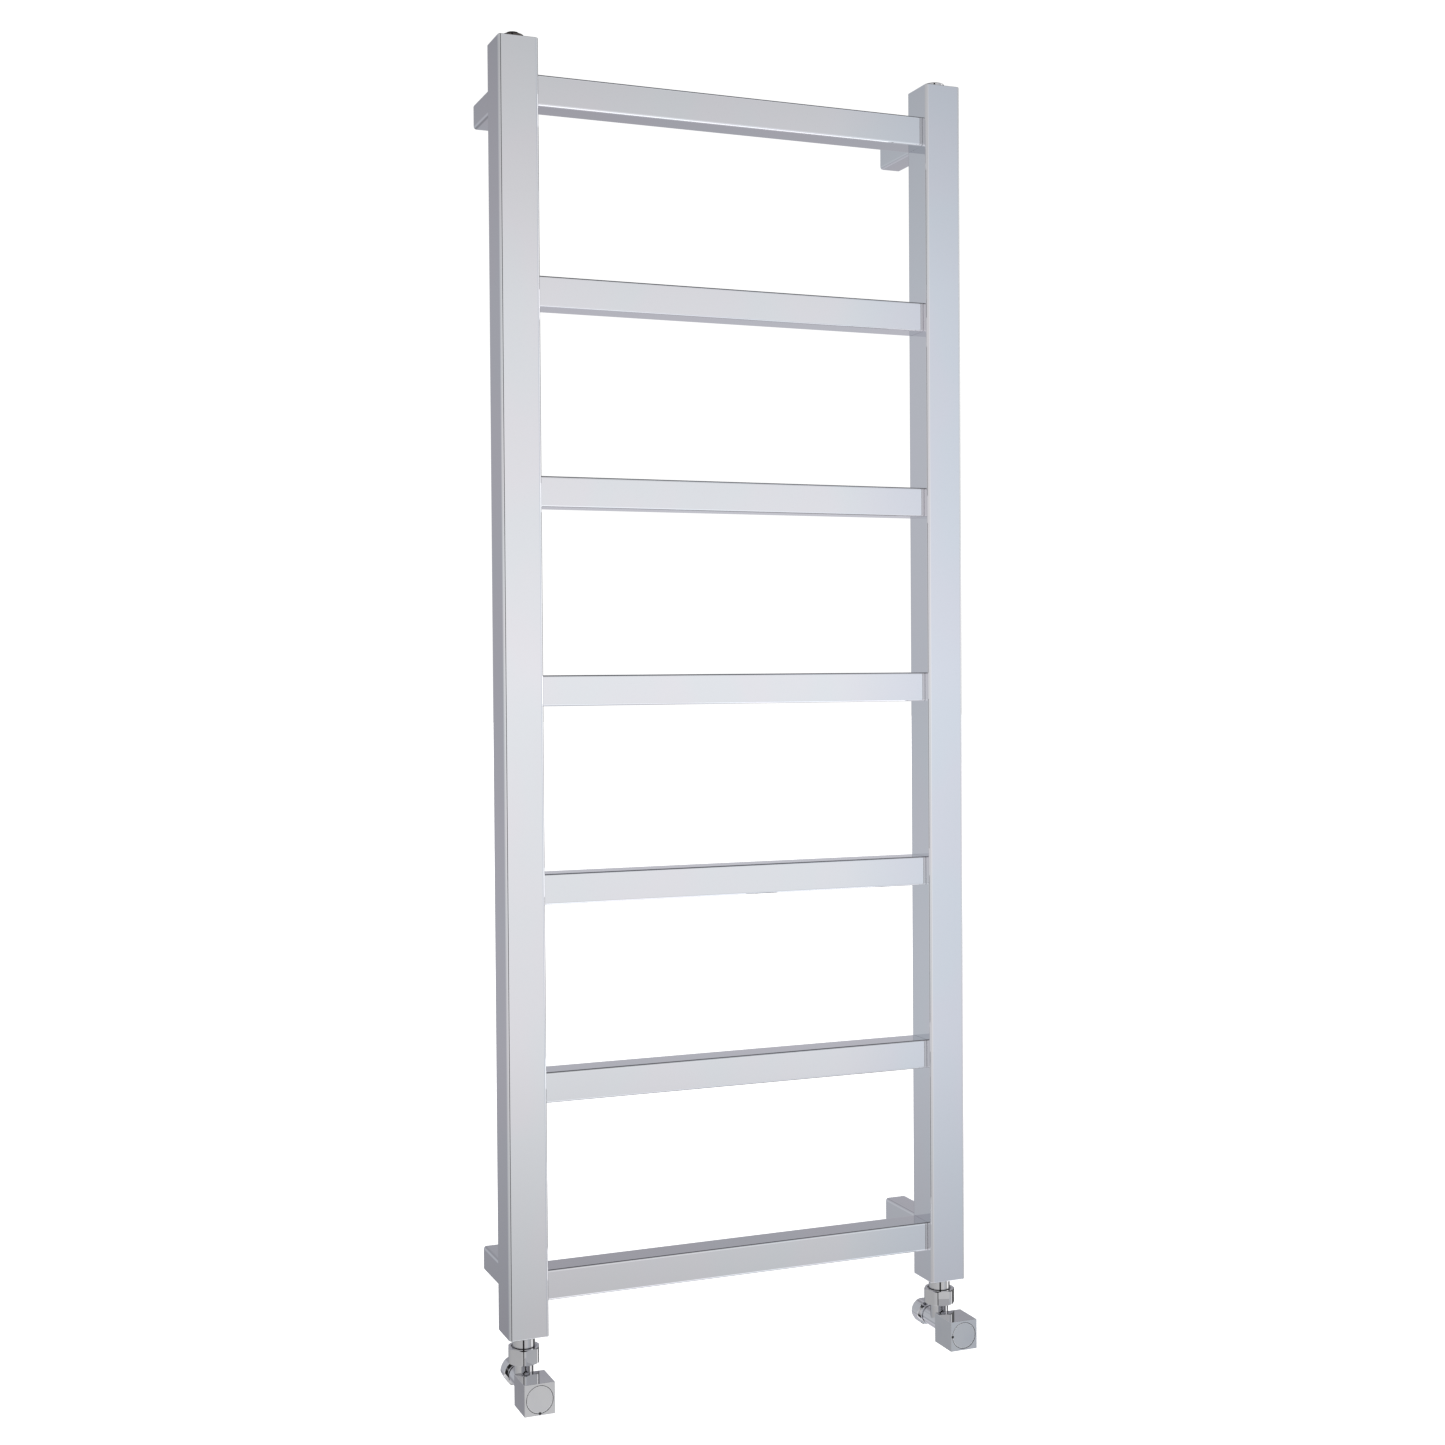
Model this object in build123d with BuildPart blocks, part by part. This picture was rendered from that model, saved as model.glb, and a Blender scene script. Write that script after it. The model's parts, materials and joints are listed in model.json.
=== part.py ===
from build123d import *
import os

# Ladder towel radiator in square tube, on four telescoping wall brackets, with an angled
# valve under each upright. Millimetres. +X is to the right seen from the room, the room is
# on the -Y side, the wall face is the plane Y = 0, and +Z is up. The origin is the middle
# of the four wall fixing holes.

os.makedirs("parts", exist_ok=True)

# Rail
rail_height = 1250.0
rail_width = 500.0
post_size = 40.0
post_wall = 2.0
post_corner = 3.0
post_inner_corner = 1.2
end_edge_break = 0.5
bar_count = 7
bar_size = 30.0
bar_wall = 1.5
bar_corner = 2.0
bar_inner_corner = 0.8
bar_setback = 8.0
end_bar_offset = 47.5
waterway_radius = 10.0

# Wall brackets
standoff = 75.0
sleeve_size = 25.0
sleeve_corner = 3.0
sleeve_bore = 10.15
sleeve_web = 5.0
stub_radius = 10.1
stub_inner_radius = 7.5
stub_length = 58.0
stub_base = 4.0
wall_hole_radius = 2.75
boss_radius = 7.5
boss_length = 12.0
bracket_screw_radius = 3.95
bracket_screw_head_radius = 6.5
bracket_screw_head = 8.0
bracket_screw_socket = 6.0
bracket_screw_reach = 8.5
bracket_thread_radius = 4.0
bracket_thread_depth = 9.0
bracket_clearance_radius = 4.2
grub_radius = 2.45
grub_thread_radius = 2.5
grub_socket = 2.5
grub_socket_depth = 1.25
grub_from_wall = 12.0

# Threaded ports in the ends of the uprights
end_plate_thickness = 5.0
end_boss_radius = 13.5
end_boss_depth = 16.0
port_radius = 10.5
port_thread_radius = 10.4
port_thread_length = 12.0
ring_seat_radius = 11.0
ring_groove_radius = 9.4
ring_seat_depth = 1.5
o_ring_radius = 10.2
o_ring_section = 0.72
fitting_radius = 11.2

# Air vent and blanking plug, heights above the top of the upright
vent_head = 5.6
vent_neck_radius = 4.6
vent_neck = 7.25
vent_lip_radius = 5.1
vent_lip = 7.75
vent_seat = -6.0
vent_hole_radius = 1.5
bleed_bore = 3.6
bleed_thread_radius = 3.52
bleed_thread_top = 3.0
bleed_key = 4.9
bleed_key_top = 7.6
bleed_seal_radius = 3.0
bleed_seal_thickness = 1.2
collar_bore = 4.7
collar_radius = 6.4
collar_gap = 0.2
collar_step = 7.15
collar_step_radius = 5.3
collar_top = 7.9
collar_round = 0.8
spout_radius = 0.5
spout_height = 6.5
blank_head = 5.6
head_round = 1.5
blank_socket = 8.0
blank_socket_depth = 4.5

# Valve, depths below the end of the upright
valve_depth = 47.0
tail_radius = 11.1
tail_bore = 7.5
tail_flange_radius = 12.8
tail_flange_top = 20.0
tail_flange_bottom = 22.5
washer_thickness = 1.0
washer_radius = 12.5
union_top = 12.0
union_bottom = 27.2
union_across_flats = 30.0
union_recess_radius = 12.6
union_recess_bottom = 13.2
union_lip_radius = 11.4
union_thread_radius = 13.25
neck_thread_radius = 13.1
neck_thread_bottom = 26.8
neck_radius = 9.4
nut_corner_break = 1.4
nut_face_radius_share = 0.87
hexagon_corner_share = 0.58
nut_corner_round = 6.0

# Valve, distances in front of the valve's vertical axis, negative towards the wall
body_radius = 10.0
body_front = 22.0
body_rear = -34.0
pipe_thread_start = -19.0
pipe_thread_radius = 10.3
pipe_relief_start = -17.0
pipe_relief_radius = 8.8
pipe_radius = 7.6
pipe_socket_end = -18.5
seat_bore = 5.5
seat_face = -4.0
chamber_radius = 7.5
chamber_front = 10.0
bonnet_bore = 8.1
riser_radius = 3.8
riser_step_depth = 35.0
keyway_width = 2.2
keyway_depth = 8.4
key_width = 1.8
key_depth = 7.95
compression_front = -24.5
compression_rear = -38.5
compression_across_flats = 24.0
compression_rear_break = 3.0
compression_thread_radius = 10.4
olive_seat_radius = 9.0
olive_seat_front = -34.7
olive_seat_rear = -36.7
olive_radius = 8.9
olive_front = -34.1
olive_rear = -36.5
olive_break = 0.5
carrier_radius = 6.8
carrier_rear = -2.0
carrier_front = 9.0
carrier_floor = -1.0
carrier_thread_radius = 3.05
valve_washer_radius = 6.4
bonnet_rear = 13.2
bonnet_thread_radius = 8.0
bonnet_flange_front = 25.0
bonnet_across_flats = 17.0
collar_cavity_radius = 5.3
collar_cavity_front = 16.3
shaft_bore = 3.55
gland_groove_radius = 5.0
gland_groove_rear = 19.0
gland_groove_front = 21.0
gland_ring_radius = 4.27
gland_ring_section = 0.7
spindle_thread_radius = 3.0
spindle_rear = 3.5
spindle_collar_radius = 5.0
spindle_collar_rear = 14.0
spindle_collar_front = 16.0
spindle_radius = 3.5
spindle_square = 5.6
spindle_square_rear = 26.5
spindle_front = 38.0
spindle_tapping_radius = 2.0
spindle_tapping_end = 29.0

# Handle
handle_size = 30.5
handle_rear = 17.5
handle_front = 51.0
handle_edge = 0.35
handle_recess_radius = 10.6
handle_recess_end = 27.0
handle_socket = 5.8
handle_socket_end = 38.5
handle_web_front = 42.0
handle_screw_hole = 2.2
handle_inner_bore = 5.5
cap_seat_radius = 13.6
cap_seat_end = 47.8
cap_radius = 13.1
cap_edge = 0.4
cap_spigot_radius = 5.3
cap_spigot_end = 45.5
notch_radius = 1.4
notch_centre = 13.2
screw_head_radius = 3.5
screw_head_front = 44.6
screw_shank_radius = 1.95
screw_tip = 31.0
screw_socket = 2.5
screw_socket_depth = 1.5

# Derived places
post_x = (rail_width - post_size) / 2
post_y = -standoff - post_size / 2
post_inside = post_size - 2 * post_wall
bar_inside = bar_size - 2 * bar_wall
end_z = rail_height / 2
bar_y = -standoff - post_size + bar_setback + bar_size / 2
bar_length = rail_width - 2 * post_size
bar_pitch = (rail_height - 2 * end_bar_offset) / (bar_count - 1)
bar_heights = [end_z - end_bar_offset - i * bar_pitch for i in range(bar_count)]
bracket_z = end_z - end_bar_offset
valve_z = -end_z - valve_depth
sides = {"left": -post_x, "right": post_x}
ends = {"top": bracket_z, "bottom": -bracket_z}
corners = [(side, end) for side in sides for end in ends]

# The way each union nut and each handle happens to be turned, in degrees
union_turn = {"left": 47.0, "right": 10.0}
notch_turn = {"left": -90.0, "right": 180.0}


def room_plane(x, z, y=0.0):
    """Plane facing the room, with its X to the right and its Y up."""
    return Plane(origin=(x, y, z), x_dir=(1, 0, 0), z_dir=(0, -1, 0))


def post_end_plane(x, up):
    """Plane at the end of an upright, facing out of the tube."""
    return Plane(origin=(x, post_y, up * end_z), x_dir=(1, 0, 0), z_dir=(0, 0, up))


def grub_plane(side, end):
    """Plane on a bracket's axis facing its grub screw: up at the top, down at the bottom."""
    away = 1 if end == "top" else -1
    return Plane(origin=(sides[side], -grub_from_wall, ends[end]), z_dir=(0, 0, away))


def valve_plane(x):
    """Plane through the middle of a valve, facing the room."""
    return room_plane(x, valve_z, post_y)


def turn(plane, start, end, radius, mode=Mode.ADD):
    """One cylindrical step, from start to end along the plane's normal."""
    with BuildSketch(plane.offset(start)) as step:
        Circle(radius)
    extrude(step.sketch, amount=end - start, mode=mode)


def block(plane, start, end, width, mode=Mode.ADD):
    """One square step, from start to end along the plane's normal."""
    with BuildSketch(plane.offset(start)) as step:
        Rectangle(width, width)
    extrude(step.sketch, amount=end - start, mode=mode)


def hexagon(plane, start, end, across_flats, mode=Mode.ADD):
    """One six-sided step, from start to end along the plane's normal."""
    with BuildSketch(plane.offset(start)) as step:
        RegularPolygon(across_flats / 2, 6, major_radius=False)
    extrude(step.sketch, amount=end - start, mode=mode)


def nut_blank(plane, start, end, across_flats, rotation=0.0, start_break=nut_corner_break):
    """Hexagon with its edges rounded and both ends turned down, the start by start_break."""
    with BuildSketch(plane.offset(start)) as outline:
        RegularPolygon(across_flats / 2, 6, major_radius=False, rotation=rotation)
        fillet(outline.vertices(), nut_corner_round)
    extrude(outline.sketch, amount=end - start)
    corner = across_flats * hexagon_corner_share
    face = corner * nut_face_radius_share
    with BuildSketch(Plane(plane.origin, x_dir=plane.x_dir, z_dir=-plane.y_dir)) as half:
        with BuildLine():
            Polyline(
                (0, start),
                (face, start),
                (corner, start + start_break),
                (corner, end - nut_corner_break),
                (face, end),
                (0, end),
                close=True,
            )
        make_face()
    revolve(half.sketch, axis=Axis(plane.origin, plane.z_dir), mode=Mode.INTERSECT)


def ring(plane, height, radius, section):
    """Rubber O-ring round the plane's normal."""
    with BuildSketch(Plane(plane.origin, x_dir=plane.x_dir, z_dir=-plane.y_dir)) as cut:
        with Locations((radius, height)):
            Circle(section)
    revolve(cut.sketch, axis=Axis(plane.origin, plane.z_dir))


def lifting_notch(front, side):
    """Round notch half in the handle and half in its cap, for lifting the cap out."""
    with BuildSketch(front.offset(cap_seat_end)) as notch:
        with PolarLocations(notch_centre, 1, start_angle=notch_turn[side]):
            Circle(notch_radius)
    extrude(notch.sketch, amount=handle_front - cap_seat_end, mode=Mode.SUBTRACT)


def port_thread(plane):
    """Male pipe thread below a fitting's head, with the groove that holds its O-ring."""
    turn(plane, -port_thread_length, -ring_seat_depth, port_thread_radius)
    turn(plane, -ring_seat_depth, 0, ring_groove_radius)


def save(builder, name):
    """Labels a finished piece and writes it as its own STEP file."""
    builder.part.label = name
    export_step(builder.part, f"parts/{name}.step")


# Uprights: square tube, open to each crossbar and to the blind bosses of its brackets
for side, x in sides.items():
    inward = -1 if x > 0 else 1
    with BuildPart() as upright:
        with BuildSketch(Plane(origin=(x, post_y, -end_z))):
            RectangleRounded(post_size, post_size, post_corner)
        extrude(amount=rail_height)
        end_faces = upright.faces().filter_by(GeomType.PLANE).filter_by(Axis.Z)
        chamfer(end_faces.edges(), end_edge_break)
        with BuildSketch(Plane(origin=(x, post_y, -end_z))):
            RectangleRounded(post_inside, post_inside, post_inner_corner)
        extrude(amount=rail_height, mode=Mode.SUBTRACT)
        for z in bar_heights:
            towards_bar = Plane(origin=(x, bar_y, z), z_dir=(inward, 0, 0))
            turn(towards_bar, 0, post_size, waterway_radius, Mode.SUBTRACT)
        for z in ends.values():
            towards_wall = Plane(origin=(x, post_y, z), z_dir=(0, 1, 0))
            turn(towards_wall, 0, post_size, boss_radius, Mode.SUBTRACT)
    save(upright, f"upright_{side}")

# Crossbars: square tube between the uprights, numbered from the top
for number, z in enumerate(bar_heights, start=1):
    with BuildPart() as crossbar:
        left_end = Plane(origin=(-bar_length / 2, bar_y, z), x_dir=(0, 1, 0), z_dir=(1, 0, 0))
        with BuildSketch(left_end):
            RectangleRounded(bar_size, bar_size, bar_corner)
            RectangleRounded(bar_inside, bar_inside, bar_inner_corner, mode=Mode.SUBTRACT)
        extrude(amount=bar_length)
    save(crossbar, f"crossbar_{number}")

# End plates: welded into the ends of the uprights, with a threaded port in each
for side, x in sides.items():
    for end, up in (("top", 1), ("bottom", -1)):
        face = post_end_plane(x, up)
        with BuildPart() as end_plate:
            with BuildSketch(face.offset(-end_plate_thickness)):
                RectangleRounded(post_inside, post_inside, post_inner_corner)
            extrude(amount=end_plate_thickness)
            turn(face, -end_boss_depth, -end_plate_thickness, end_boss_radius)
            turn(face, -end_boss_depth, 0, port_radius, Mode.SUBTRACT)
            turn(face, -ring_seat_depth, 0, ring_seat_radius, Mode.SUBTRACT)
        save(end_plate, f"end_plate_{end}_{side}")

# Blind bosses welded into the rear of the uprights for the bracket screws
with BuildPart() as rail_bosses:
    for side, end in corners:
        rear = room_plane(sides[side], ends[end], -standoff)
        turn(rear, 0, boss_length, boss_radius)
        turn(rear, 0, bracket_thread_depth, bracket_thread_radius, Mode.SUBTRACT)
save(rail_bosses, "rail_bosses")

# Bracket sleeves: square outside, bored to slide on the wall stub
for side, end in corners:
    wall = room_plane(sides[side], ends[end])
    with BuildPart() as sleeve:
        with BuildSketch(wall):
            RectangleRounded(sleeve_size, sleeve_size, sleeve_corner)
        extrude(amount=standoff)
        turn(wall, 0, standoff - sleeve_web, sleeve_bore, Mode.SUBTRACT)
        turn(wall, standoff - sleeve_web, standoff, bracket_clearance_radius, Mode.SUBTRACT)
        turn(grub_plane(side, end), 0, sleeve_size, grub_thread_radius, Mode.SUBTRACT)
    save(sleeve, f"bracket_sleeve_{end}_{side}")

# Wall stubs: cups screwed to the wall through their base
for side, end in corners:
    wall = room_plane(sides[side], ends[end])
    with BuildPart() as stub:
        turn(wall, 0, stub_length, stub_radius)
        turn(wall, stub_base, stub_length, stub_inner_radius, Mode.SUBTRACT)
        turn(wall, 0, stub_base, wall_hole_radius, Mode.SUBTRACT)
    save(stub, f"wall_stub_{end}_{side}")

# Bracket screws: socket-head screws from inside the sleeves into the blind bosses
with BuildPart() as bracket_screws:
    web_rear = standoff - sleeve_web
    head_rear = web_rear - bracket_screw_head
    for side, end in corners:
        wall = room_plane(sides[side], ends[end])
        turn(wall, head_rear, web_rear, bracket_screw_head_radius)
        turn(wall, web_rear, standoff + bracket_screw_reach, bracket_screw_radius)
        socket_floor = head_rear + bracket_screw_head / 2
        hexagon(wall, head_rear, socket_floor, bracket_screw_socket, mode=Mode.SUBTRACT)
save(bracket_screws, "bracket_screws")

# Grub screws: lock each sleeve on its stub, from above at the top and from below at the bottom
with BuildPart() as grub_screws:
    for side, end in corners:
        grub = grub_plane(side, end)
        outside = sleeve_size / 2
        turn(grub, sleeve_bore, outside, grub_radius)
        hexagon(grub, outside - grub_socket_depth, outside, grub_socket, mode=Mode.SUBTRACT)
save(grub_screws, "grub_screws")

# Port O-rings: one under each fitting screwed into the uprights
with BuildPart() as port_o_rings:
    for side, x in sides.items():
        for up in (1, -1):
            ring(post_end_plane(x, up), -ring_seat_depth / 2, o_ring_radius, o_ring_section)
save(port_o_rings, "port_o_rings")

# Air vent on the left upright
vent_plane = post_end_plane(sides["left"], 1)
with BuildPart() as vent_body:
    port_thread(vent_plane)
    turn(vent_plane, 0, vent_head, fitting_radius)
    fillet(vent_body.faces().sort_by(Axis.Z)[-1].edges(), head_round)
    turn(vent_plane, vent_head, vent_neck, vent_neck_radius)
    turn(vent_plane, vent_neck, vent_lip, vent_lip_radius)
    turn(vent_plane, -port_thread_length, vent_seat, vent_hole_radius, Mode.SUBTRACT)
    turn(vent_plane, vent_seat, vent_lip, bleed_bore, Mode.SUBTRACT)
    spout = Plane(origin=(sides["left"], post_y, end_z + spout_height), z_dir=(0, -1, 0))
    turn(spout, 0, fitting_radius, spout_radius, Mode.SUBTRACT)
save(vent_body, "vent_body")

with BuildPart() as vent_collar:
    turn(vent_plane, vent_head + collar_gap, collar_top, collar_radius)
    fillet(vent_collar.faces().sort_by(Axis.Z)[-1].edges(), collar_round)
    turn(vent_plane, vent_head + collar_gap, collar_top, collar_bore, Mode.SUBTRACT)
    turn(vent_plane, collar_step, collar_top, collar_step_radius, Mode.SUBTRACT)
    turn(spout, 0, fitting_radius, spout_radius, Mode.SUBTRACT)
save(vent_collar, "vent_collar")

with BuildPart() as bleed_screw:
    turn(vent_plane, vent_seat + bleed_seal_thickness, bleed_thread_top, bleed_thread_radius)
    block(vent_plane, bleed_thread_top, bleed_key_top, bleed_key)
save(bleed_screw, "bleed_screw")

with BuildPart() as bleed_seal:
    turn(vent_plane, vent_seat, vent_seat + bleed_seal_thickness, bleed_seal_radius)
save(bleed_seal, "bleed_seal")

# Blanking plug on the right upright
blank_plane = post_end_plane(sides["right"], 1)
with BuildPart() as blanking_plug:
    port_thread(blank_plane)
    turn(blank_plane, 0, blank_head, fitting_radius)
    fillet(blanking_plug.faces().sort_by(Axis.Z)[-1].edges(), head_round)
    socket_floor = blank_head - blank_socket_depth
    hexagon(blank_plane, socket_floor, blank_head, blank_socket, mode=Mode.SUBTRACT)
save(blanking_plug, "blanking_plug")

# One valve under each upright, shut
for side, x in sides.items():
    down = post_end_plane(x, -1)
    front = valve_plane(x)
    neck_top = tail_flange_bottom + washer_thickness

    with BuildPart() as tailpiece:
        port_thread(down)
        turn(down, 0, tail_flange_top, tail_radius)
        turn(down, tail_flange_top, tail_flange_bottom, tail_flange_radius)
        turn(down, -port_thread_length, tail_flange_bottom, tail_bore, Mode.SUBTRACT)
    save(tailpiece, f"{side}_tailpiece")

    with BuildPart() as union_washer:
        turn(down, tail_flange_bottom, neck_top, washer_radius)
        turn(down, tail_flange_bottom, neck_top, tail_bore, Mode.SUBTRACT)
    save(union_washer, f"{side}_union_washer")

    with BuildPart() as union_nut:
        nut_blank(down, union_top, union_bottom, union_across_flats, union_turn[side])
        turn(down, union_top, union_recess_bottom, union_recess_radius, Mode.SUBTRACT)
        turn(down, union_recess_bottom, tail_flange_top, union_lip_radius, Mode.SUBTRACT)
        turn(down, tail_flange_top, union_bottom, union_thread_radius, Mode.SUBTRACT)
    save(union_nut, f"{side}_union_nut")

    with BuildPart() as valve_body:
        turn(down, neck_top, neck_thread_bottom, neck_thread_radius)
        turn(down, neck_thread_bottom, valve_depth, neck_radius)
        turn(front, pipe_relief_start, body_front, body_radius)
        turn(front, pipe_thread_start, pipe_relief_start, pipe_relief_radius)
        turn(front, body_rear, pipe_thread_start, pipe_thread_radius)
        turn(down, neck_top, riser_step_depth, tail_bore, Mode.SUBTRACT)
        turn(down, riser_step_depth, valve_depth, riser_radius, Mode.SUBTRACT)
        turn(front, body_rear, pipe_socket_end, pipe_radius, Mode.SUBTRACT)
        turn(front, pipe_socket_end, seat_face, seat_bore, Mode.SUBTRACT)
        turn(front, seat_face, chamber_front, chamber_radius, Mode.SUBTRACT)
        turn(front, chamber_front, body_front, bonnet_bore, Mode.SUBTRACT)
        with BuildSketch(front.offset(carrier_rear)):
            Rectangle(keyway_width, keyway_depth, align=(Align.CENTER, Align.MAX))
        extrude(amount=chamber_front - carrier_rear, mode=Mode.SUBTRACT)
    save(valve_body, f"{side}_valve_body")

    with BuildPart() as compression_nut:
        nut_blank(
            front,
            compression_rear,
            compression_front,
            compression_across_flats,
            start_break=compression_rear_break,
        )
        turn(front, olive_seat_front, compression_front, compression_thread_radius, Mode.SUBTRACT)
        turn(front, olive_seat_rear, olive_seat_front, olive_seat_radius, Mode.SUBTRACT)
        turn(front, compression_rear, olive_seat_rear, pipe_radius, Mode.SUBTRACT)
    save(compression_nut, f"{side}_compression_nut")

    with BuildPart() as olive:
        turn(front, olive_rear, olive_front, olive_radius)
        chamfer(olive.edges(), olive_break)
        turn(front, olive_rear, olive_front, pipe_radius, Mode.SUBTRACT)
    save(olive, f"{side}_olive")

    with BuildPart() as bonnet:
        turn(front, bonnet_rear, body_front, bonnet_thread_radius)
        hexagon(front, body_front, bonnet_flange_front, bonnet_across_flats)
        turn(front, bonnet_rear, collar_cavity_front, collar_cavity_radius, Mode.SUBTRACT)
        turn(front, collar_cavity_front, bonnet_flange_front, shaft_bore, Mode.SUBTRACT)
        turn(front, gland_groove_rear, gland_groove_front, gland_groove_radius, Mode.SUBTRACT)
    save(bonnet, f"{side}_bonnet")

    with BuildPart() as spindle_o_ring:
        gland_middle = (gland_groove_rear + gland_groove_front) / 2
        ring(front, gland_middle, gland_ring_radius, gland_ring_section)
    save(spindle_o_ring, f"{side}_spindle_o_ring")

    with BuildPart() as spindle:
        turn(front, spindle_rear, spindle_collar_rear, spindle_thread_radius)
        turn(front, spindle_collar_rear, spindle_collar_front, spindle_collar_radius)
        turn(front, spindle_collar_front, spindle_square_rear, spindle_radius)
        block(front, spindle_square_rear, spindle_front, spindle_square)
        turn(front, spindle_tapping_end, spindle_front, spindle_tapping_radius, Mode.SUBTRACT)
    save(spindle, f"{side}_spindle")

    with BuildPart() as plug_carrier:
        turn(front, carrier_rear, carrier_front, carrier_radius)
        with BuildSketch(front.offset(carrier_rear)):
            Rectangle(key_width, key_depth, align=(Align.CENTER, Align.MAX))
        extrude(amount=carrier_front - carrier_rear)
        turn(front, carrier_floor, carrier_front, carrier_thread_radius, Mode.SUBTRACT)
    save(plug_carrier, f"{side}_plug_carrier")

    with BuildPart() as valve_washer:
        turn(front, seat_face, carrier_rear, valve_washer_radius)
    save(valve_washer, f"{side}_valve_washer")

    with BuildPart() as handle:
        block(front, handle_rear, handle_front, handle_size)
        fillet(handle.edges(), handle_edge)
        turn(front, handle_rear, handle_recess_end, handle_recess_radius, Mode.SUBTRACT)
        block(front, handle_recess_end, handle_socket_end, handle_socket, Mode.SUBTRACT)
        turn(front, handle_socket_end, handle_web_front, handle_screw_hole, Mode.SUBTRACT)
        turn(front, handle_web_front, cap_seat_end, handle_inner_bore, Mode.SUBTRACT)
        turn(front, cap_seat_end, handle_front, cap_seat_radius, Mode.SUBTRACT)
        lifting_notch(front, side)
    save(handle, f"{side}_handle")

    with BuildPart() as handle_cap:
        turn(front, cap_seat_end, handle_front, cap_radius)
        fillet(handle_cap.faces().sort_by(Axis.Y)[0].edges(), cap_edge)
        lifting_notch(front, side)
        turn(front, cap_spigot_end, cap_seat_end, cap_spigot_radius)
    save(handle_cap, f"{side}_handle_cap")

    with BuildPart() as handle_screw:
        turn(front, handle_web_front, screw_head_front, screw_head_radius)
        turn(front, screw_tip, handle_web_front, screw_shank_radius)
        socket_floor = screw_head_front - screw_socket_depth
        hexagon(front, socket_floor, screw_head_front, screw_socket, mode=Mode.SUBTRACT)
    save(handle_screw, f"{side}_handle_screw")
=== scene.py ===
"""Ladder towel radiator with angled valves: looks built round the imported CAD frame, in metres."""

import json
import math

import bmesh
import bpy
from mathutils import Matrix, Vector


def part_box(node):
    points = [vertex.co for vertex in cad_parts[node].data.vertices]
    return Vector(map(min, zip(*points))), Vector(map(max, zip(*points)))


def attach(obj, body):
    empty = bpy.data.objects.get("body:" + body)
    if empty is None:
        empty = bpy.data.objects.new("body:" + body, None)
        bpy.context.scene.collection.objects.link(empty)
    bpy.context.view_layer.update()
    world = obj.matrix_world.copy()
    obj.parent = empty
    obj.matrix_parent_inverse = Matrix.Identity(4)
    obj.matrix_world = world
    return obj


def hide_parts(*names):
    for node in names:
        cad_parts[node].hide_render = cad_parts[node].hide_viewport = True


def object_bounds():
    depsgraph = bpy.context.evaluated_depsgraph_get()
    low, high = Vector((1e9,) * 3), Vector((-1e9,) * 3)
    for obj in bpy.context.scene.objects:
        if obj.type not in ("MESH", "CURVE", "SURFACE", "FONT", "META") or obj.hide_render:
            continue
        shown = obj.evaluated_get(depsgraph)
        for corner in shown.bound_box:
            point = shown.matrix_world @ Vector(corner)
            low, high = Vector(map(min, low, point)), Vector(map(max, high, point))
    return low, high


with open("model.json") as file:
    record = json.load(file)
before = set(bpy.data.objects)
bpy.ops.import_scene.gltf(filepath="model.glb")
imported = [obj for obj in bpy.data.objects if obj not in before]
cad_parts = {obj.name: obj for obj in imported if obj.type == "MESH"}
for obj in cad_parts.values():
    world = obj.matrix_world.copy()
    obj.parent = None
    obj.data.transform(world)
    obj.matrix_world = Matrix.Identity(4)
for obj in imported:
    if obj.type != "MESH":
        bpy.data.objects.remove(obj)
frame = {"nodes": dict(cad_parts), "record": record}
cad_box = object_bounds()

MM = 0.001
SIDES = ("left", "right")
BARS = [f"crossbar_{number}" for number in range(1, 8)]

# Tube shapes: outside corner, end rounding, wall, inside corner
POST_SHAPE = (3.0 * MM, 0.9 * MM, 2.0 * MM, 1.2 * MM)
BAR_SHAPE = (2.0 * MM, 0.5 * MM, 1.5 * MM, 0.8 * MM)
CORNER_STEPS = 8
END_STEPS = 4
LARGEST_FACE_WEIGHT = 100

# Painted shade in the groove round the cap of each handle, as a dark ring: radii, and depths behind
# the handle's front
SHADE_RING_INNER = 13.12 * MM
SHADE_RING_OUTER = 13.58 * MM
SHADE_RING_FACE = 0.55 * MM
SHADE_RING_BREAK = 0.1 * MM
SHADE_BACK = 2.9 * MM
SHADE_RING_STEPS = 180

# Painted shade in the lifting notch, as a dark plug: its place, and its (radius, depth) profile
NOTCH_CENTRE = 13.2 * MM
NOTCH_GAP = 7.0
NOTCH_ANGLES = {"left": -90.0, "right": 180.0}
NOTCH_SHADE_PROFILE = (
    (1.05 * MM, 0.4 * MM), (1.25 * MM, 0.5 * MM), (1.32 * MM, 0.7 * MM), (1.32 * MM, SHADE_BACK),
)
NOTCH_SHADE_STEPS = 32

# Where the camera stands, in the part's frame, and its turns about X, Y and Z
CAMERA_PLACE = Vector((-0.7679, -1.8571, 0.0176))
CAMERA_TURNS = [math.radians(angle) for angle in (89.025, 0.4265, -21.0535)]
LENS = 47.314
SENSOR = 36.0
SHIFT_X = 0.0479
SHIFT_Y = -0.0127
CLIP_NEAR = 0.05
CLIP_FAR = 100.0

FLOOR_DROP = 0.16
FLOOR_SIZE = 60.0
FLOOR_GLOW = 1.0
BACKDROP_LEVEL = 1.05
WHITE = (1.0, 1.0, 1.0, 1.0)

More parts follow.
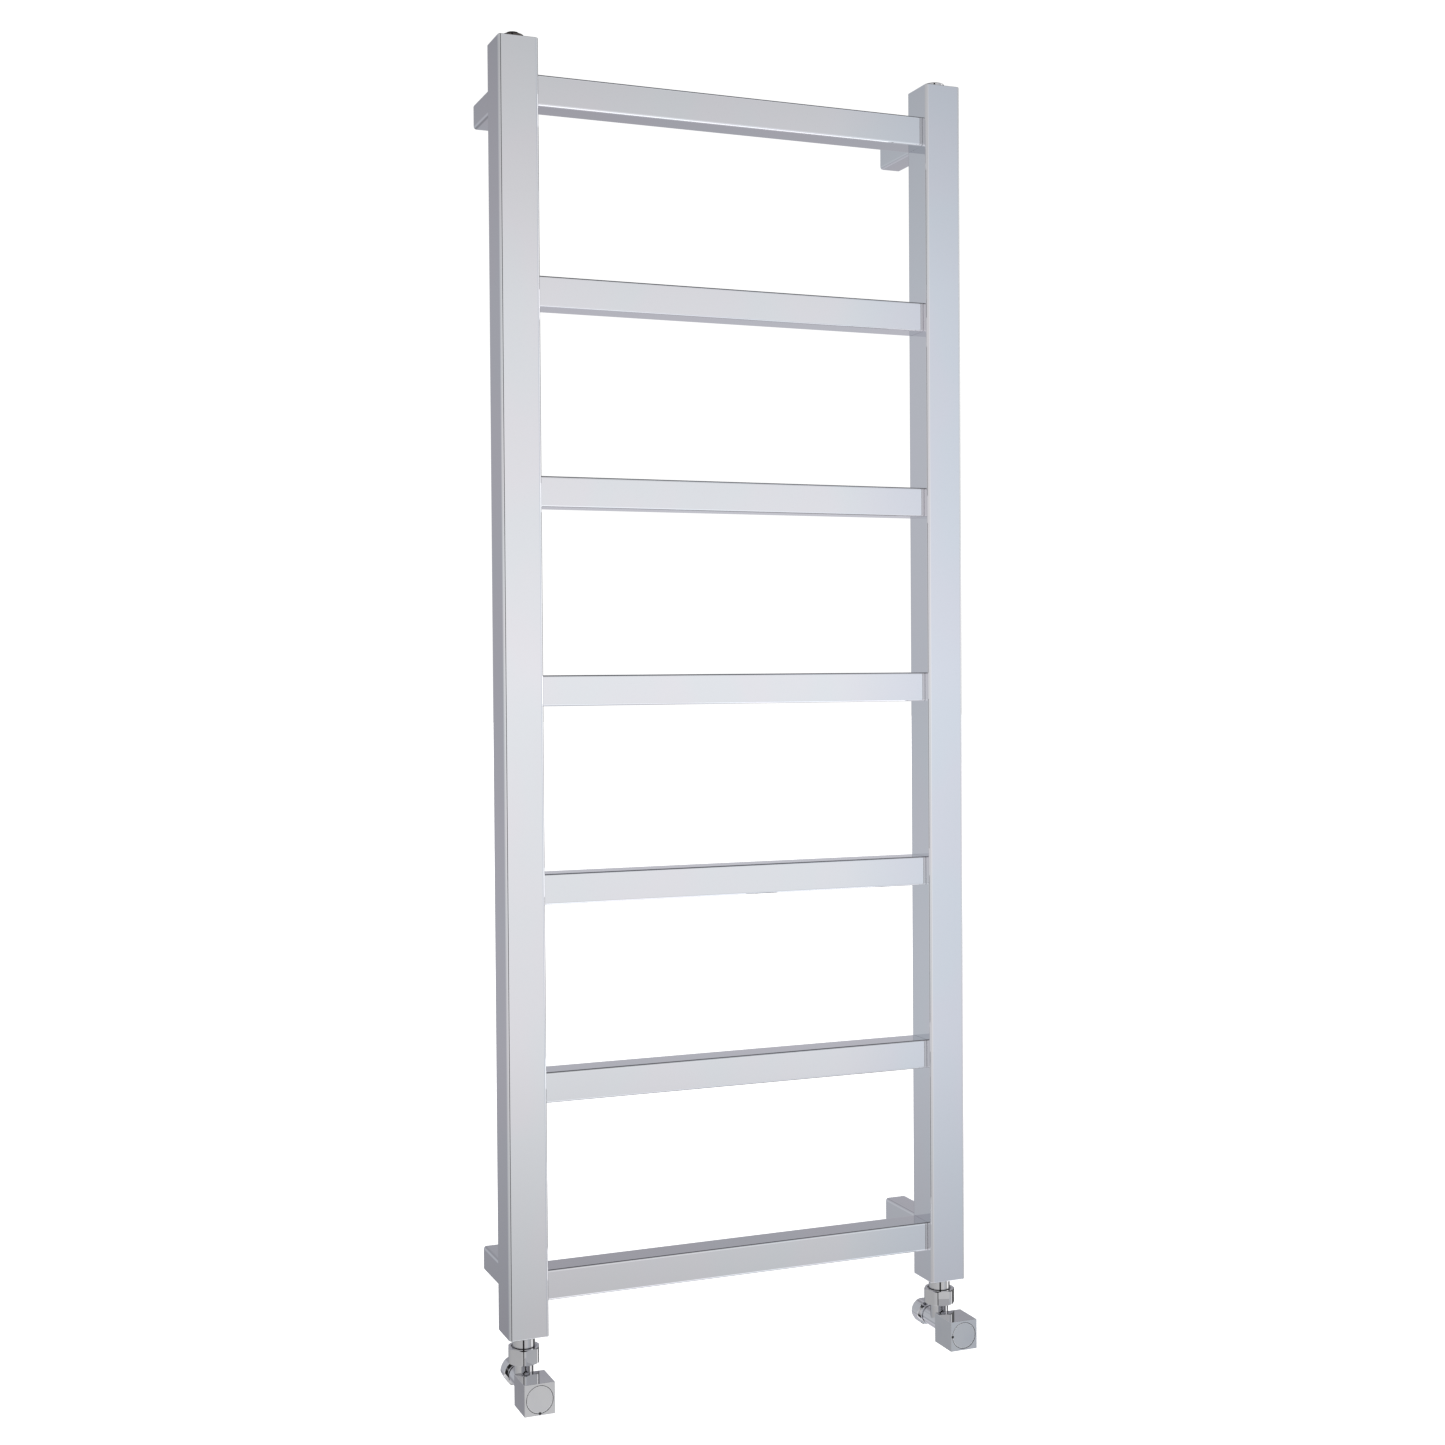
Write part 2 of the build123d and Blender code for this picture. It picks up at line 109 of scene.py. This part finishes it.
# Studio light by azimuth, with 0 straight in front of the rail: (azimuth, level, tint)
PLAIN = (1.0, 1.0, 1.0)
BLUISH = (0.945, 1.0, 1.07)
LILAC = (1.0, 1.0, 1.08)
AROUND_TOP = 2.0
AROUND = [
    (-180, 0.42, LILAC), (-163, 0.56, LILAC), (-151, 0.78, (0.96, 1.0, 1.06)), (-120, 0.84, PLAIN),
    (-60, 0.95, PLAIN), (-27, 1.02, PLAIN), (-25.5, 0.04, PLAIN), (-10.5, 0.04, PLAIN),
    (-8, 1.07, PLAIN), (14, 1.11, PLAIN), (26.5, 1.11, (0.985, 1.0, 1.01)), (29, 1.01, BLUISH),
    (31, 0.97, BLUISH),
    (50, 0.86, PLAIN), (66, 0.80, PLAIN), (68, 1.90, PLAIN), (87, 1.90, PLAIN), (90, 0.55, PLAIN),
    (102, 0.20, PLAIN), (134, 0.22, PLAIN), (144, 0.66, LILAC), (163, 0.62, LILAC), (180, 0.42, LILAC),
]
# Studio light by elevation: (elevation, level, tint)
UP_TOP = 1.3
UP = [
    (-90, 0.10, PLAIN), (-82, 0.12, PLAIN), (-74, 1.20, PLAIN), (-28, 1.28, PLAIN), (-25, 1.05, PLAIN),
    (-22.5, 0.72, PLAIN), (-19.4, 0.62, PLAIN), (-11, 0.90, PLAIN), (0, 1.0, PLAIN), (11, 0.88, PLAIN),
    (18.4, 0.66, PLAIN), (25, 0.92, PLAIN), (38, 0.75, PLAIN), (50, 0.42, PLAIN), (62, 0.12, PLAIN),
    (90, 0.08, PLAIN),
]
# Correction by elevation, and the azimuths that it applies to: behind the rail on the left
SIDE_LIFT = [
    (-90, 0.80, PLAIN), (-18, 0.97, PLAIN), (-8, 0.92, PLAIN), (0, 0.80, PLAIN), (16, 1.0, PLAIN),
    (90, 1.0, PLAIN),
]
BEHIND_LEFT = [(-180, 0.0, PLAIN), (-168, 1.0, PLAIN), (-120, 1.0, PLAIN), (-90, 0.0, PLAIN)]


# Materials

def new_material(name):
    """New material with a Principled shader alone; returns it, its node tree and the shader."""
    material = bpy.data.materials.new(name)
    material.use_nodes = True
    tree = material.node_tree
    tree.nodes.clear()
    output = tree.nodes.new("ShaderNodeOutputMaterial")
    shader = tree.nodes.new("ShaderNodeBsdfPrincipled")
    tree.links.new(shader.outputs["BSDF"], output.inputs["Surface"])
    return material, tree, shader


def noise(tree, scale, detail=3.0, roughness=0.5, stretch=(1.0, 1.0, 1.0)):
    """Noise over the object's own place, stretched along the axes."""
    place = tree.nodes.new("ShaderNodeTexCoord")
    mapping = tree.nodes.new("ShaderNodeMapping")
    mapping.inputs["Scale"].default_value = stretch
    texture = tree.nodes.new("ShaderNodeTexNoise")
    texture.inputs["Scale"].default_value = scale
    texture.inputs["Detail"].default_value = detail
    texture.inputs["Roughness"].default_value = roughness
    tree.links.new(place.outputs["Object"], mapping.inputs["Vector"])
    tree.links.new(mapping.outputs["Vector"], texture.inputs["Vector"])
    return texture.outputs["Fac"]


def ramp(tree, factor, stops):
    """Colour ramp through (place, colour) stops."""
    node = tree.nodes.new("ShaderNodeValToRGB")
    elements = node.color_ramp.elements
    while len(elements) < len(stops):
        elements.new(0.5)
    for element, (place, colour) in zip(elements, stops):
        element.position = place
        element.color = (*colour, 1.0)
    tree.links.new(factor, node.inputs["Fac"])
    return node.outputs["Color"]


def bump(tree, shader, height, strength, distance):
    """Fine relief from a height, on the shader's normal."""
    node = tree.nodes.new("ShaderNodeBump")
    node.inputs["Strength"].default_value = strength
    node.inputs["Distance"].default_value = distance
    tree.links.new(height, node.inputs["Height"])
    tree.links.new(node.outputs["Normal"], shader.inputs["Normal"])


def grey(value):
    return (value, value, value)


def chrome():
    """Polished chrome plate: a faint drifting tint, and slight haze where it has been wiped."""
    material, tree, shader = new_material("chrome_plate")
    shader.inputs["Metallic"].default_value = 1.0
    tint = noise(tree, 9.0, detail=2.0, stretch=(1.0, 1.0, 0.6))
    colour = ramp(tree, tint, [
        (0.30, (0.692, 0.698, 0.732)),
        (0.44, (0.690, 0.704, 0.736)),
        (0.56, (0.706, 0.698, 0.734)),
        (0.70, (0.700, 0.700, 0.728)),
    ])
    tree.links.new(colour, shader.inputs["Base Color"])
    wiped = noise(tree, 26.0, detail=5.0, roughness=0.6)
    haze = ramp(tree, wiped, [(0.35, grey(0.015)), (0.7, grey(0.04))])
    tree.links.new(haze, shader.inputs["Roughness"])
    bump(tree, shader, noise(tree, 60.0, detail=1.0), 0.02, 0.05 * MM)
    return material


def cast_chrome():
    """Chrome on the brass and zinc valve parts: a little less blue, and mirror bright."""
    material, tree, shader = new_material("valve_chrome")
    shader.inputs["Metallic"].default_value = 1.0
    colour = ramp(tree, noise(tree, 60.0, detail=2.0), [
        (0.3, (0.655, 0.655, 0.680)),
        (0.7, (0.685, 0.682, 0.696)),
    ])
    tree.links.new(colour, shader.inputs["Base Color"])
    haze = ramp(tree, noise(tree, 300.0, detail=4.0), [(0.35, grey(0.008)), (0.7, grey(0.025))])
    tree.links.new(haze, shader.inputs["Roughness"])
    bump(tree, shader, noise(tree, 420.0, detail=2.0), 0.03, 0.02 * MM)
    return material


def zinc_steel():
    """Zinc-plated steel: soft cloudy sheen with fine turning marks."""
    material, tree, shader = new_material("zinc_steel")
    shader.inputs["Metallic"].default_value = 1.0
    colour = ramp(tree, noise(tree, 120.0, detail=4.0), [
        (0.3, (0.42, 0.43, 0.45)),
        (0.7, (0.56, 0.56, 0.56)),
    ])
    tree.links.new(colour, shader.inputs["Base Color"])
    haze = ramp(tree, noise(tree, 500.0, detail=4.0), [(0.3, grey(0.24)), (0.7, grey(0.4))])
    tree.links.new(haze, shader.inputs["Roughness"])
    bump(tree, shader, noise(tree, 900.0, stretch=(1.0, 8.0, 1.0)), 0.15, 0.04 * MM)
    return material


def turned_brass():
    """Turned brass with a fine lathe grain."""
    material, tree, shader = new_material("turned_brass")
    shader.inputs["Metallic"].default_value = 1.0
    colour = ramp(tree, noise(tree, 180.0, detail=4.0), [
        (0.3, (0.66, 0.47, 0.20)),
        (0.7, (0.80, 0.62, 0.32)),
    ])
    tree.links.new(colour, shader.inputs["Base Color"])
    haze = ramp(tree, noise(tree, 400.0, detail=4.0), [(0.3, grey(0.18)), (0.7, grey(0.32))])
    tree.links.new(haze, shader.inputs["Roughness"])
    bump(tree, shader, noise(tree, 1200.0, stretch=(1.0, 6.0, 1.0)), 0.12, 0.03 * MM)
    return material


def black_rubber():
    """Moulded rubber: dull, very slightly mottled."""
    material, tree, shader = new_material("black_rubber")
    colour = ramp(tree, noise(tree, 300.0, detail=5.0), [(0.3, grey(0.012)), (0.7, grey(0.030))])
    tree.links.new(colour, shader.inputs["Base Color"])
    haze = ramp(tree, noise(tree, 800.0, detail=4.0), [(0.3, grey(0.55)), (0.7, grey(0.75))])
    tree.links.new(haze, shader.inputs["Roughness"])
    bump(tree, shader, noise(tree, 1500.0, detail=4.0), 0.2, 0.05 * MM)
    return material


def black_plastic():
    """Moulded black plastic with a fine spark-eroded grain."""
    material, tree, shader = new_material("black_plastic")
    colour = ramp(tree, noise(tree, 500.0, detail=4.0), [(0.3, grey(0.010)), (0.7, grey(0.018))])
    tree.links.new(colour, shader.inputs["Base Color"])
    haze = ramp(tree, noise(tree, 1400.0, detail=3.0), [(0.3, grey(0.32)), (0.7, grey(0.46))])
    tree.links.new(haze, shader.inputs["Roughness"])
    bump(tree, shader, noise(tree, 3000.0, detail=2.0), 0.15, 0.03 * MM)
    return material


def black_nickel():
    """Dark nickel plate on the air vent: near black, with a soft mirror."""
    material, tree, shader = new_material("black_nickel")
    shader.inputs["Metallic"].default_value = 1.0
    colour = ramp(tree, noise(tree, 200.0, detail=3.0), [
        (0.3, (0.085, 0.074, 0.070)),
        (0.7, (0.140, 0.122, 0.114)),
    ])
    tree.links.new(colour, shader.inputs["Base Color"])
    haze = ramp(tree, noise(tree, 500.0, detail=4.0), [(0.3, grey(0.10)), (0.7, grey(0.20))])
    tree.links.new(haze, shader.inputs["Roughness"])
    bump(tree, shader, noise(tree, 900.0, detail=2.0), 0.08, 0.02 * MM)
    return material


SLOT_MATERIALS = {
    "chrome": chrome(),
    "steel": zinc_steel(),
    "brass": turned_brass(),
    "rubber": black_rubber(),
    "black_plastic": black_plastic(),
}
VALVE_CHROME = cast_chrome()
VENT_NICKEL = black_nickel()


def paint(piece, material):
    piece.data.materials.clear()
    piece.data.materials.append(material)


def dress_frame():
    """Gives every CAD node the material of its slot; the cast parts and the vent have their own."""
    for row in frame["record"]["subparts"]:
        name = row["node"]
        material = SLOT_MATERIALS[row["material_slot"]]
        if name == "vent_body":
            material = VENT_NICKEL
        elif row["material_slot"] == "chrome" and name.startswith((*SIDES, "blanking_plug")):
            material = VALVE_CHROME
        paint(frame["nodes"][name], material)


# Finer tubes

def stitch(mesh, rims):
    """Quads between each closed ring of points and the next."""
    for one, two in zip(rims, rims[1:]):
        for k in range(len(one)):
            n = (k + 1) % len(one)
            mesh.faces.new((one[k], one[n], two[n], two[k]))


def place_mesh(name, mesh):
    """Turns a finished mesh into an object in the scene."""
    data = bpy.data.meshes.new(name)
    mesh.to_mesh(data)
    mesh.free()
    piece = bpy.data.objects.new(name, data)
    bpy.context.scene.collection.objects.link(piece)
    return piece


def rounded_outline(half_u, half_v, corner, steps):
    """Points of a rectangle with round corners, anticlockwise."""
    points = []
    for turn, (side_u, side_v) in enumerate(((1, 1), (-1, 1), (-1, -1), (1, -1))):
        for step in range(steps + 1):
            angle = math.radians(90.0 * (turn + step / steps))
            points.append((
                side_u * (half_u - corner) + corner * math.cos(angle),
                side_v * (half_v - corner) + corner * math.sin(angle),
            ))
    return points


def rounded_tube(node, axis, shape, material, body):
    """Hollow square tube in place of a CAD tube, with round long edges and rounded open ends."""
    corner, end_round, wall, inner_corner = shape
    low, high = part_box(node)
    along = "XYZ".index(axis)
    across = [k for k in range(3) if k != along]
    middle = (low + high) / 2
    half = (high - low) / 2
    mesh = bmesh.new()

    def ring(place, inset, radius):
        half_u, half_v = (half[k] - inset for k in across)
        outline = rounded_outline(half_u, half_v, radius, CORNER_STEPS)
        verts = []
        for u, v in outline:
            point = [0.0, 0.0, 0.0]
            point[along] = place
            point[across[0]] = middle[across[0]] + u
            point[across[1]] = middle[across[1]] + v
            verts.append(mesh.verts.new(point))
        return verts

    angles = [math.radians(90.0 * k / END_STEPS) for k in range(END_STEPS + 1)]
    rims = []
    for end, sign in ((low[along], 1), (high[along], -1)):
        rim = [ring(end, wall, inner_corner)]
        for angle in angles:
            inset = end_round * (1 - math.sin(angle))
            rim.append(ring(end + sign * end_round * (1 - math.cos(angle)), inset, corner - inset))
        rims.append(rim)
    rings = rims[0] + rims[1][::-1]
    stitch(mesh, rings + rings[:1])
    for rim in rims:
        inside = set(rim[0])
        for edge in {edge for vert in inside for edge in vert.link_edges}:
            edge.smooth = not inside.issuperset(edge.verts)
    bmesh.ops.recalc_face_normals(mesh, faces=mesh.faces)
    piece = place_mesh(f"polished_{node}", mesh)
    weighted = piece.modifiers.new("even_shading", "WEIGHTED_NORMAL")
    weighted.weight = LARGEST_FACE_WEIGHT
    weighted.keep_sharp = True
    paint(piece, material)
    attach(piece, body)
    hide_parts(node)


def build_rail():
    """The uprights and the crossbars between them, polished."""
    for side in SIDES:
        rounded_tube(f"upright_{side}", "Z", POST_SHAPE, SLOT_MATERIALS["chrome"], "rail")
    for bar in BARS:
        rounded_tube(bar, "X", BAR_SHAPE, SLOT_MATERIALS["chrome"], "rail")


# Painted shade in the handles: dark rings in the cap grooves and dark plugs in the lifting notches

def arc_ring(mesh, centre, section, first, last):
    """Part of a ring round Y: a section of (radius, y) corners, swept between two angles."""
    rims = []
    for k in range(SHADE_RING_STEPS + 1):
        angle = math.radians(first + (last - first) * k / SHADE_RING_STEPS)
        rims.append([
            mesh.verts.new((centre.x + r * math.cos(angle), y, centre.z + r * math.sin(angle)))
            for r, y in section
        ])
    stitch(mesh, rims)
    mesh.faces.new(rims[0])
    mesh.faces.new(rims[-1])


def notch_shade_plug(mesh, x, z, front):
    """Small round plug round Y through (x, z), with a flat at each end of its profile: painted shade
    in a lifting notch.
    """
    angles = [2 * math.pi * k / NOTCH_SHADE_STEPS for k in range(NOTCH_SHADE_STEPS)]
    rims = []
    for r, depth in NOTCH_SHADE_PROFILE:
        rims.append([
            mesh.verts.new((x + r * math.cos(a), front + depth, z + r * math.sin(a)))
            for a in angles
        ])
    stitch(mesh, rims)
    mesh.faces.new(rims[0])
    mesh.faces.new(rims[-1])


def cap_groove_shade(side, notch_angle):
    """Dark ring sunk in the groove round a handle's cap, with a dark plug in its lifting notch: both
    are painted shade in the rubber material, standing in for the shade deep in the groove and the
    notch.
    """
    low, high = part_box(f"{side}_handle")
    centre = (low + high) / 2
    front = low.y
    mesh = bmesh.new()
    face = front + SHADE_RING_FACE
    edge = face + SHADE_RING_BREAK
    back = front + SHADE_BACK
    section = [
        (SHADE_RING_INNER + SHADE_RING_BREAK, face), (SHADE_RING_OUTER - SHADE_RING_BREAK, face), (SHADE_RING_OUTER, edge),
        (SHADE_RING_OUTER, back), (SHADE_RING_INNER, back), (SHADE_RING_INNER, edge),
    ]
    arc_ring(mesh, centre, section, notch_angle + NOTCH_GAP, notch_angle + 360 - NOTCH_GAP)
    angle = math.radians(notch_angle)
    x = centre.x + NOTCH_CENTRE * math.cos(angle)
    z = centre.z + NOTCH_CENTRE * math.sin(angle)
    # dark plug in the notch: painted shade
    notch_shade_plug(mesh, x, z, front)
    bmesh.ops.recalc_face_normals(mesh, faces=mesh.faces)
    # dark ring and plug: painted shade in the cap groove and the lifting notch
    groove_shade = place_mesh(f"{side}_cap_groove_shade", mesh)
    paint(groove_shade, SLOT_MATERIALS["rubber"])
    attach(groove_shade, f"{side}_handle")
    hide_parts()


# Studio

def world_light():
    """Studio all round: pale in front with one narrow dark strip, and dimmer behind."""
    world = bpy.data.worlds.new("studio")
    bpy.context.scene.world = world
    world.use_nodes = True
    tree = world.node_tree
    tree.nodes.clear()
    output = tree.nodes.new("ShaderNodeOutputWorld")
    mix = tree.nodes.new("ShaderNodeMixShader")
    white = tree.nodes.new("ShaderNodeBackground")
    white.inputs["Color"].default_value = WHITE
    white.inputs["Strength"].default_value = BACKDROP_LEVEL
    studio = tree.nodes.new("ShaderNodeBackground")
    path = tree.nodes.new("ShaderNodeLightPath")
    tree.links.new(path.outputs["Is Camera Ray"], mix.inputs["Fac"])
    tree.links.new(studio.outputs["Background"], mix.inputs[1])
    tree.links.new(white.outputs["Background"], mix.inputs[2])
    tree.links.new(mix.outputs["Shader"], output.inputs["Surface"])

    place = tree.nodes.new("ShaderNodeTexCoord")
    split = tree.nodes.new("ShaderNodeSeparateXYZ")
    tree.links.new(place.outputs["Generated"], split.inputs["Vector"])

    def math_node(operation, first, second=None):
        node = tree.nodes.new("ShaderNodeMath")
        node.operation = operation
        for socket, value in zip(node.inputs, (first, second)):
            if value is None:
                continue
            if isinstance(value, (int, float)):
                socket.default_value = value
            else:
                tree.links.new(value, socket)
        return node.outputs["Value"]

    forward = math_node("MULTIPLY", split.outputs["Y"], -1.0)
    turn = math_node("ARCTAN2", split.outputs["X"], forward)
    turn_share = math_node("ADD", math_node("DIVIDE", turn, 2 * math.pi), 0.5)
    rise = math_node("ARCSINE", split.outputs["Z"])
    rise_share = math_node("ADD", math_node("DIVIDE", rise, math.pi), 0.5)

    def angle_ramp(factor, span, top, stops):
        return ramp(tree, factor, [
            ((angle + span / 2) / span, tuple(part * value / top for part in tint))
            for angle, value, tint in stops
        ])

    def product(first, second, factor=None):
        node = tree.nodes.new("ShaderNodeMix")
        node.data_type = "RGBA"
        node.blend_type = "MULTIPLY"
        node.inputs["Factor"].default_value = 1.0
        if factor is not None:
            tree.links.new(factor, node.inputs["Factor"])
        tree.links.new(first, node.inputs["A"])
        tree.links.new(second, node.inputs["B"])
        return node.outputs["Result"]

    around = angle_ramp(turn_share, 360.0, AROUND_TOP, AROUND)
    up = angle_ramp(rise_share, 180.0, UP_TOP, UP)
    lift = angle_ramp(rise_share, 180.0, 1.0, SIDE_LIFT)
    behind_left = angle_ramp(turn_share, 360.0, 1.0, BEHIND_LEFT)
    level = product(product(around, up), lift, behind_left)
    tree.links.new(level, studio.inputs["Color"])
    studio.inputs["Strength"].default_value = AROUND_TOP * UP_TOP


def studio_floor():
    """Plain pale floor below the valves, out of sight of the chrome."""
    mesh = bmesh.new()
    bmesh.ops.create_grid(mesh, x_segments=2, y_segments=2, size=FLOOR_SIZE / 2)
    floor = place_mesh("studio_floor", mesh)
    floor.location.z = cad_box[0].z - FLOOR_DROP
    material, tree, shader = new_material("pale_floor")
    colour = ramp(tree, noise(tree, 3.0, detail=3.0), [(0.3, grey(0.86)), (0.7, grey(0.90))])
    tree.links.new(colour, shader.inputs["Base Color"])
    shader.inputs["Roughness"].default_value = 0.9
    shader.inputs["Emission Color"].default_value = WHITE
    shader.inputs["Emission Strength"].default_value = FLOOR_GLOW
    paint(floor, material)
    floor.visible_glossy = False


def place_camera():
    """Camera on the left of the front, level with the middle of the rail."""
    data = bpy.data.cameras.new("camera")
    camera = bpy.data.objects.new("camera", data)
    bpy.context.scene.collection.objects.link(camera)
    data.lens = LENS
    data.sensor_width = SENSOR
    data.shift_x = SHIFT_X
    data.shift_y = SHIFT_Y
    data.clip_start = CLIP_NEAR
    data.clip_end = CLIP_FAR
    camera.location = CAMERA_PLACE
    camera.rotation_euler = CAMERA_TURNS
    bpy.context.scene.camera = camera


dress_frame()
build_rail()
for side in SIDES:
    cap_groove_shade(side, NOTCH_ANGLES[side])
world_light()
studio_floor()
place_camera()

bpy.context.scene.view_settings.view_transform = "Standard"
bpy.context.scene.view_settings.look = "None"
